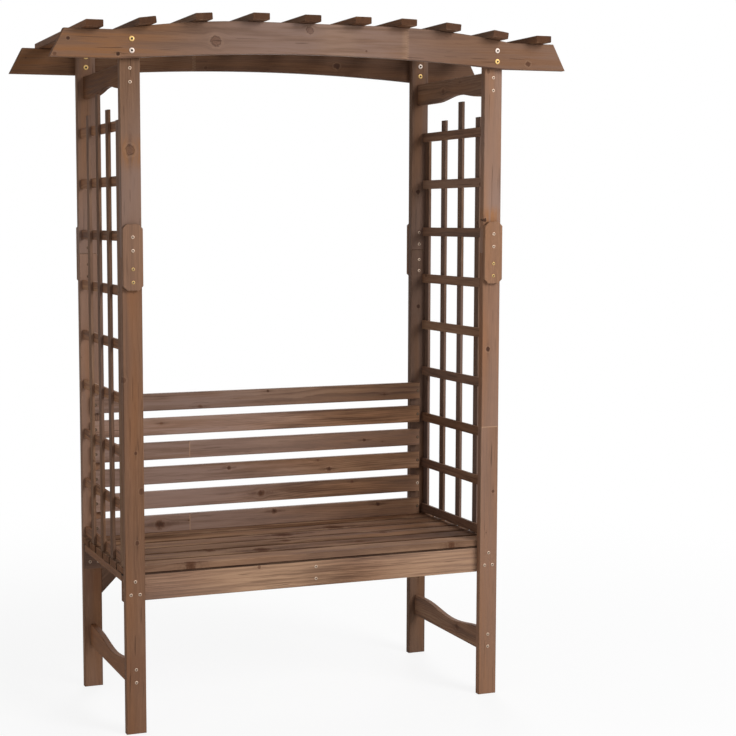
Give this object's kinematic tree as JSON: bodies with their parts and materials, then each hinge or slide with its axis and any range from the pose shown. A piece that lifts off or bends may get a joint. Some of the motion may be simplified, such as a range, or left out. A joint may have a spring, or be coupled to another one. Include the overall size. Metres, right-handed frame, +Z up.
{
  "type": "arbour seat",
  "caption": "Wooden garden bench with a slatted seat and back, trellis sides on tall posts, and an arched slatted roof that climbing plants can cover.",
  "frame": {"origin": "on the ground, under the middle of the whole object", "axes": "+X to the right as seen from the front, +Y to the back, +Z up; the front faces -Y"},
  "size_m": [1.55, 0.6366, 1.9964],
  "materials": {
    "post_wood": "stained softwood, matt, sawn and lightly planed",
    "plate_wood": "stained softwood, matt, sawn and lightly planed",
    "beam_wood": "stained softwood, matt, sawn and lightly planed",
    "rail_wood": "stained softwood, matt, sawn and lightly planed",
    "roof_slat_wood": "stained softwood, matt, sawn and lightly planed",
    "brace_wood": "stained softwood, matt, sawn and lightly planed",
    "seat_wood": "stained softwood, matt, sawn and lightly planed",
    "back_slat_wood": "stained softwood, matt, sawn and lightly planed",
    "lath_wood": "stained softwood, matt, sawn and lightly planed",
    "bolt_steel": "yellow zinc plating, satin"
  },
  "bodies": {
    "root": {"post_lower_front_left": "post_wood", "post_lower_front_right": "post_wood", "post_lower_rear_left": "post_wood", "post_lower_rear_right": "post_wood", "post_upper_front_left": "post_wood", "post_upper_front_right": "post_wood", "post_upper_rear_left": "post_wood", "post_upper_rear_right": "post_wood", "splice_plate_front_left": "plate_wood", "splice_plate_front_right": "plate_wood", "splice_plate_rear_left": "plate_wood", "splice_plate_rear_right": "plate_wood", "roof_beam_front": "beam_wood", "roof_beam_rear": "beam_wood", "seat_apron_front": "rail_wood", "seat_rail_rear": "rail_wood", "roof_slat_01": "roof_slat_wood", "roof_slat_02": "roof_slat_wood", "roof_slat_03": "roof_slat_wood", "roof_slat_04": "roof_slat_wood", "roof_slat_05": "roof_slat_wood", "roof_slat_06": "roof_slat_wood", "roof_slat_07": "roof_slat_wood", "roof_slat_08": "roof_slat_wood", "roof_slat_09": "roof_slat_wood", "roof_slat_10": "roof_slat_wood", "side_brace_left": "brace_wood", "side_brace_right": "brace_wood", "leg_stretcher_left": "brace_wood", "leg_stretcher_right": "brace_wood", "corner_brace_left": "brace_wood", "corner_brace_right": "brace_wood", "seat_bearer_left": "seat_wood", "seat_bearer_right": "seat_wood", "seat_bearer_centre": "seat_wood", "seat_slat_1": "seat_wood", "seat_slat_2": "seat_wood", "seat_slat_3": "seat_wood", "seat_slat_4": "seat_wood", "seat_slat_5": "seat_wood", "seat_slat_6": "seat_wood", "back_slat_1": "back_slat_wood", "back_slat_2": "back_slat_wood", "back_slat_3": "back_slat_wood", "back_slat_4": "back_slat_wood", "back_slat_5": "back_slat_wood", "back_slat_6": "back_slat_wood", "trellis_left": "lath_wood", "trellis_right": "lath_wood", "beam_bolt_front_left_lower": "bolt_steel", "beam_bolt_front_left_upper": "bolt_steel", "beam_bolt_front_right_lower": "bolt_steel", "beam_bolt_front_right_upper": "bolt_steel", "beam_bolt_rear_left_lower": "bolt_steel", "beam_bolt_rear_left_upper": "bolt_steel", "beam_bolt_rear_right_lower": "bolt_steel", "beam_bolt_rear_right_upper": "bolt_steel"}
  },
  "joints": []
}
